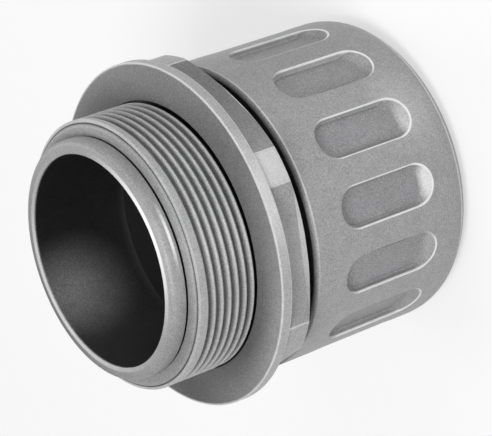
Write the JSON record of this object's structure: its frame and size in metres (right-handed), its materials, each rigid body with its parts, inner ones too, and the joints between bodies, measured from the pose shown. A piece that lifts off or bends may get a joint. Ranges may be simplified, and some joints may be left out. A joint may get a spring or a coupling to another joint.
{
  "type": "flexible conduit connector",
  "caption": "Straight plastic connector for corrugated flexible conduit: threaded nose, flange, wrenching hexagon and a gripped compression nut over a split clamping ring and a seal.",
  "frame": {"origin": "centre of the nut's rear face, on which the connector stands", "axes": "+Z along the bore axis, from the conduit entry to the threaded mouth; two corners of the hexagon lie on +Y and -Y"},
  "size_m": [0.0604, 0.0604, 0.06],
  "materials": {
    "body_plastic": "satin moulded",
    "nut_plastic": "satin moulded",
    "ring_plastic": "matt moulded",
    "seal_rubber": "matt"
  },
  "bodies": {
    "nut": {"compression_nut": "nut_plastic"},
    "clamp": {"clamping_ring": "ring_plastic"},
    "connector": {"connector_body": "body_plastic", "sealing_ring": "seal_rubber"}
  },
  "joints": [
    {"name": "nut_turn", "type": "hinge", "parent": "nut", "child": "clamp", "pos_m": [0, 0, 0], "axis": [0, 0, 1], "range_deg": [-144, 1620]},
    {"name": "body_travel", "type": "slide", "parent": "clamp", "child": "connector", "axis": [0, 0, 1], "range_m": [-0.0012, 0.0135]}
  ],
  "couplings": [
    {"joint": "body_travel", "follows": "nut_turn", "m_per_rad": 0.00047746}
  ]
}
